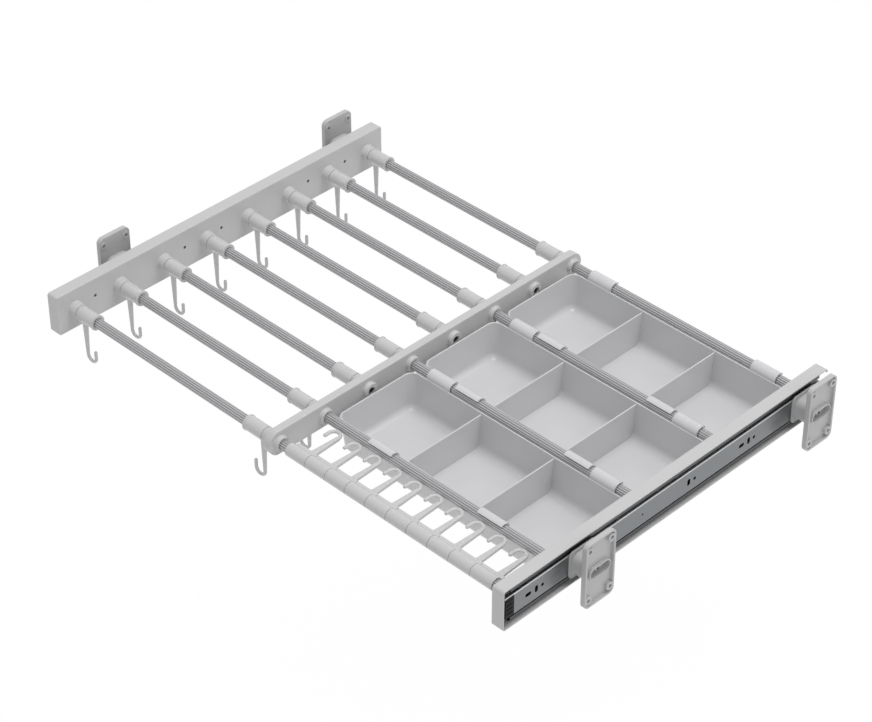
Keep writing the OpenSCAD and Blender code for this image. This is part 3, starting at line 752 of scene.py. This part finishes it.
def makeRingHook(length, reach):
    h = ringHook
    shape = bmesh.new()
    turned(shape, [(0, h["bore"]), (0, h["radius"]), (length, h["radius"]), (length, h["bore"])])
    roundEdges(shape, h["edge"])
    ringFaces = set(shape.faces)
    middle, half, wide = length - h["shaftSet"], h["wire"], h["shaftWidth"] / 2
    outline = [(0, h["webStart"]), (length, h["webStart"]), (length, h["web"]),
               (middle + wide, h["web"]), (middle + half, reach), (middle - half, reach),
               (middle - wide, h["web"]), (0, h["web"])]
    points = [shape.verts.new((x, y, -h["webThick"] / 2)) for x, y in outline]
    web = shape.faces.new(points)
    up = bmesh.ops.extrude_face_region(shape, geom=[web], use_keep_orig=True)["geom"]
    bmesh.ops.translate(shape, vec=(0, 0, h["webThick"]), verts=verticesOf(up))
    inner = [e for e in shape.edges if abs(e.verts[0].co.z - e.verts[1].co.z) > h["webThick"] / 2
             and abs(e.verts[0].co.y - h["web"]) < h["edge"] and not ringFaces & set(e.link_faces)
             and 0 < e.verts[0].co.x < length]
    bevelEdges(shape, inner, h["webCorner"], h["webCornerSteps"])
    webSharp = [e for e in shape.edges if len(e.link_faces) == 2
                and not ringFaces & set(e.link_faces) and e.calc_face_angle(0) > sharpAngle]
    bevelEdges(shape, webSharp, h["edge"], edgeSteps)
    ring = wireRing(shape, (middle, h["web"], 0), h["wire"], "Y")
    ring = grow(shape, ring, (0, reach - h["web"], 0))
    ring = bend(shape, ring, (middle - h["bend"], reach, 0), (0, 0, 1), math.pi, bendSteps)
    ring = grow(shape, ring, (0, -h["point"], 0))
    roundEnd(shape, ring, (0, -1, 0), h["wire"])
    return meshOf(shape, "ringHook")


ringNames = [f"ring_hook_{k}" for k in range(1, ringHook["count"] + 1)]
low, high = (Vector(corner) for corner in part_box(ringNames[0]))
ringReach = (high.y - low.y) / mm - ringHook["radius"] - ringHook["bend"] - ringHook["wire"]
ringMesh = makeRingHook((high.x - low.x) / mm, ringReach)
for node in ringNames:
    low = Vector(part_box(node)[0])
    placeCopy(ringMesh, node, (low.x, low.y + ringHook["radius"] * mm, 0),
              finishes["hook_plastic"])
print("ring hooks:", len(ringNames))


# Trays: a thin basin, two dividers and four saddle clips

trayShape = dict(wall=2.0, floor=2.0, rimDrop=0.5, depth=45.5, corner=12.0, foot=9.0, lean=4.0,
                 barGap=1.0, rimEdge=0.6, rimSteps=3, roundSteps=8, divider=1.5,
                 dividerDrop=2.0, dividers=2, seat=0.8)
clip = dict(length=34.0, thick=1.8, gap=0.4, inset=40.0, sideGap=5.0, root=4.0,
            frontWrap=128, rearWrap=145, wrapSteps=18, edge=0.45, sunk=0.8)


# the shell leans in towards its floor and is open at the top
def makeBasin(wide, deep):
    t = trayShape
    top = -t["rimDrop"]
    low = top - t["depth"]
    shape = bmesh.new()
    made = bmesh.ops.create_cube(shape, size=1.0)["verts"]
    bmesh.ops.scale(shape, vec=(wide, deep, t["depth"]), verts=made)
    bmesh.ops.translate(shape, vec=(0, 0, (top + low) / 2), verts=made)
    upright = [e for e in shape.edges if abs(e.verts[0].co.z - e.verts[1].co.z) > t["depth"] / 2]
    bevelEdges(shape, upright, t["corner"], t["roundSteps"])
    lowest = [v for v in shape.verts if v.co.z < (top + low) / 2]
    lean = 2 * t["lean"]
    bmesh.ops.scale(shape, vec=(1 - lean / wide, 1 - lean / deep, 1), verts=lowest)
    bevelEdges(shape, edgesAmong(shape, lowest), t["foot"], t["roundSteps"])
    lids = [f for f in shape.faces if f.calc_center_median().z > top - t["rimEdge"]]
    bmesh.ops.delete(shape, geom=lids, context="FACES_ONLY")
    bmesh.ops.solidify(shape, geom=shape.faces[:], thickness=t["wall"])
    rim = [e for e in shape.edges if min(v.co.z for v in e.verts) > top - t["rimEdge"] / 2
           and e.calc_face_angle(0) > sharpAngle]
    bevelEdges(shape, rim, t["rimEdge"], t["rimSteps"])
    return shape


# a divider reaches a little way into the walls and the floor
def addDivider(shape, x, deep):
    t = trayShape
    top = -t["rimDrop"] - t["dividerDrop"]
    low = -t["rimDrop"] - t["depth"] + t["floor"] - t["seat"]
    made = bmesh.ops.create_cube(shape, size=1.0)["verts"]
    across = deep - 2 * (t["wall"] - t["seat"])
    bmesh.ops.scale(shape, vec=(t["divider"], across, top - low), verts=made)
    bmesh.ops.translate(shape, vec=(x, 0, (top + low) / 2), verts=made)
    lowest = [v for v in made if v.co.z < (top + low) / 2]
    bmesh.ops.scale(shape, vec=(1, 1 - 2 * t["lean"] / deep, 1), verts=lowest)
    ends = [e for e in edgesAmong(shape, lowest)
            if abs(e.verts[0].co.y - e.verts[1].co.y) < t["seat"]]
    bevelEdges(shape, ends, t["foot"] - t["wall"], t["roundSteps"])


# a saddle over a bar, whose root runs into the tray's wall; side is +1 where the tray lies at +Y
def addClip(shape, x, barAt, side, wrap):
    inner = bar["radius"] + clip["gap"]
    outer = inner + clip["thick"]
    local = bmesh.new()
    corners = [(0, inner), (clip["length"], inner), (clip["length"], outer), (0, outer)]
    points = [local.verts.new((cx - clip["length"] / 2, cy, 0)) for cx, cy in corners]
    ring = [local.edges.new(pair) for pair in zip(points, points[1:] + points[:1])]
    foot = grow(local, ring, (0, 0, -trayShape["rimDrop"]))
    for v in {v for e in foot for v in e.verts}:
        if v.co.y > (inner + outer) / 2:
            v.co.y = bar["radius"] + trayShape["barGap"] + trayShape["wall"] * clip["sunk"]
    foot = grow(local, foot, (0, 0, -clip["root"]))
    bmesh.ops.edgeloop_fill(local, edges=foot)
    end = bend(local, ring, (0, 0, 0), (1, 0, 0), math.radians(wrap), clip["wrapSteps"])
    bmesh.ops.edgeloop_fill(local, edges=end)
    bmesh.ops.recalc_face_normals(local, faces=local.faces)
    roundEdges(local, clip["edge"])
    bmesh.ops.scale(local, vec=(1, side, 1), verts=local.verts)
    bmesh.ops.recalc_face_normals(local, faces=local.faces)
    bmesh.ops.translate(local, vec=(x, barAt, 0), verts=local.verts)
    hold = bpy.data.meshes.new("hold")
    local.to_mesh(hold)
    local.free()
    shape.from_mesh(hold)
    bpy.data.meshes.remove(hold)


def makeTray(node, frontBar, rearBar):
    low, high = (Vector(corner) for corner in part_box(node))
    frontY, rearY = (sum(corner[1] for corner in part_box(name)) / 2 for name in (frontBar, rearBar))
    midX, midY = (low.x + high.x) / 2, (frontY + rearY) / 2
    wide, span = (high.x - low.x) / mm, (rearY - frontY) / mm
    deep = span - 2 * (bar["radius"] + trayShape["barGap"])
    shape = makeBasin(wide, deep)
    count = trayShape["dividers"]
    cell = (wide - 2 * trayShape["wall"] - count * trayShape["divider"]) / (count + 1)
    for k in range(count):
        x = -wide / 2 + trayShape["wall"] + (k + 1) * cell + (k + 0.5) * trayShape["divider"]
        addDivider(shape, x, deep)
    rearX = wide / 2 - clip["inset"]
    frontX = rearX - clip["length"] - clip["sideGap"]
    for end in (-1, 1):
        addClip(shape, end * frontX, -span / 2, 1, clip["frontWrap"])
        addClip(shape, end * rearX, span / 2, -1, clip["rearWrap"])
    mesh = meshOf(shape, node + "Basin")
    placeCopy(mesh, node, (midX, midY, 0), finishes["tray_plastic"])


# each tray hangs between two bars
trayBars = {"tray_front": ("bar_2", "bar_4"), "tray_middle": ("bar_4", "bar_6"),
            "tray_rear": ("bar_6", "bar_8")}
for node, (frontBar, rearBar) in trayBars.items():
    makeTray(node, frontBar, rearBar)
print("trays:", len(trayBars))

bpy.context.scene.view_settings.view_transform = "Standard"
